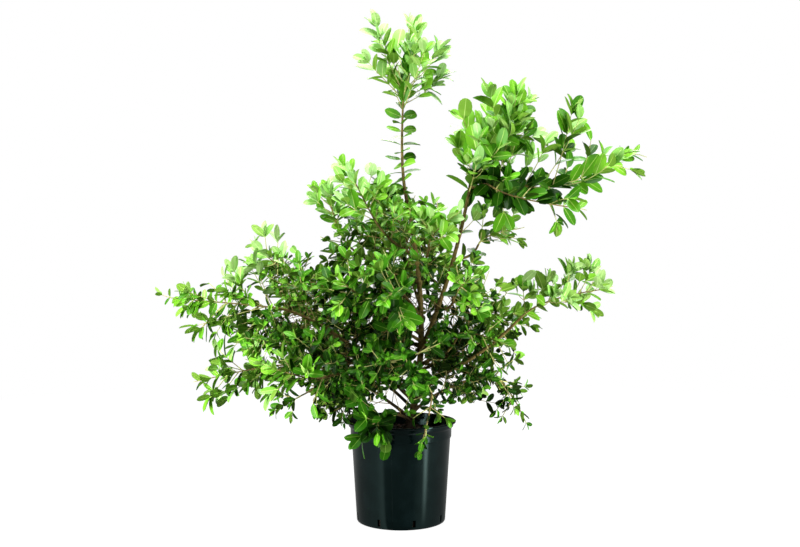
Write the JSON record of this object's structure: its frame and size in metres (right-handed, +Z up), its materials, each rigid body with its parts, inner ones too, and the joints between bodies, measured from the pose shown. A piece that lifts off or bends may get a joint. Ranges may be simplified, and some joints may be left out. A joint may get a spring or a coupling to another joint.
{
  "type": "potted metrosideros shrub",
  "caption": "Young broad-leaved evergreen shrub with a leaning trunk, spreading boughs and leafy shoots, standing in a plain round nursery pot with drain slots.",
  "frame": {"origin": "on the ground, in the middle of the pot's flat underside", "axes": "+Z up, the plant's front towards -Y, +X to the right seen from the front"},
  "size_m": [1.2374, 0.7192, 1.2978],
  "materials": {
    "pot": "satin moulded black-green plastic",
    "soil": "moist bark and peat mix, matte",
    "bark": "finely fissured brown-grey bark",
    "foliage": "leathery leaves, satin above and paler below"
  },
  "bodies": {
    "root": {"pot": "pot", "soil": "soil", "trunk": "bark", "back_left_bough": "bark", "back_low_left_bough": "bark", "back_low_right_bough": "bark", "back_mid_bough": "bark", "back_right_bough": "bark", "back_upper_bough": "bark", "centre_front_bough": "bark", "centre_left_bough": "bark", "centre_low_bough": "bark", "centre_top_bough": "bark", "front_drape_bough": "bark", "front_right_bough": "bark", "front_trail_bough": "bark", "left_arm_bough": "bark", "left_front_bough": "bark", "left_hang_bough": "bark", "left_low_bough": "bark", "left_mid_bough": "bark", "left_upper_bough": "bark", "plume_arm_bough": "bark", "plume_under_bough": "bark", "right_arm_bough": "bark", "right_leader_bough": "bark", "right_low_bough": "bark", "right_mid_bough": "bark", "right_shoot_bough": "bark", "upper_left_back_bough": "bark", "upper_left_bough": "bark", "back_left_leaves": "foliage", "back_low_left_leaves": "foliage", "back_low_right_leaves": "foliage", "back_mid_leaves": "foliage", "back_right_leaves": "foliage", "back_upper_leaves": "foliage", "centre_front_leaves": "foliage", "centre_left_leaves": "foliage", "centre_low_leaves": "foliage", "centre_top_leaves": "foliage", "crown_tuft_leaves": "foliage", "front_drape_leaves": "foliage", "front_right_leaves": "foliage", "front_trail_leaves": "foliage", "left_arm_leaves": "foliage", "left_front_leaves": "foliage", "left_hang_leaves": "foliage", "left_low_leaves": "foliage", "left_mid_leaves": "foliage", "left_upper_leaves": "foliage", "plume_inner_leaves": "foliage", "plume_outer_leaves": "foliage", "plume_skirt_leaves": "foliage", "right_arm_leaves": "foliage", "right_low_leaves": "foliage", "right_mid_leaves": "foliage", "right_shoot_leaves": "foliage", "upper_left_back_leaves": "foliage", "upper_left_leaves": "foliage"}
  },
  "joints": []
}
